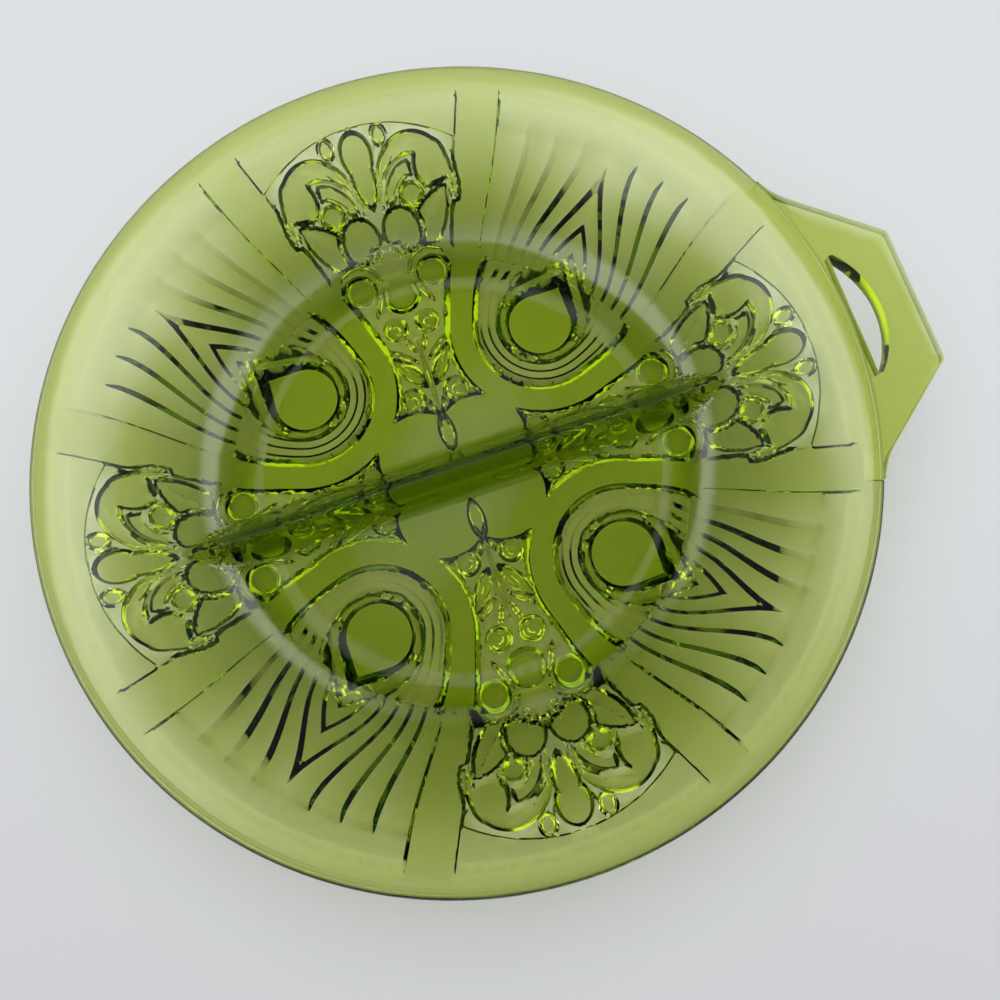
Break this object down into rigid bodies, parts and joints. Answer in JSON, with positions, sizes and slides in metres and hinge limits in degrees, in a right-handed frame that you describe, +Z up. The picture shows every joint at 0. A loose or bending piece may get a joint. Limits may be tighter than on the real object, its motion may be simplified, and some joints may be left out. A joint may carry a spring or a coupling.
{
  "type": "relish dish",
  "caption": "Round shallow pressed-glass relish dish, divided in two by a low bar, with a flat one-sided tab handle that has a finger slot.",
  "frame": {"origin": "the dish's axis on the plane that it stands on, in the middle of the underside", "axes": "+Z up, +X along the bar towards the handle, +Y across the bar"},
  "size_m": [0.2208, 0.204, 0.0355],
  "materials": {
    "green_glass": "fire-polished, clear avocado green"
  },
  "bodies": {
    "root": {"bowl_floor": "green_glass", "bowl_wall": "green_glass", "rim": "green_glass", "divider": "green_glass", "handle": "green_glass", "center_field": "green_glass", "ribbon_arches": "green_glass", "wall_straps": "green_glass", "eye_discs": "green_glass", "eye_rings": "green_glass", "fan_flutes": "green_glass", "palmette_scrolls": "green_glass", "palmette_petals": "green_glass", "calyx_buds": "green_glass", "leaf_sprays": "green_glass"}
  },
  "joints": []
}
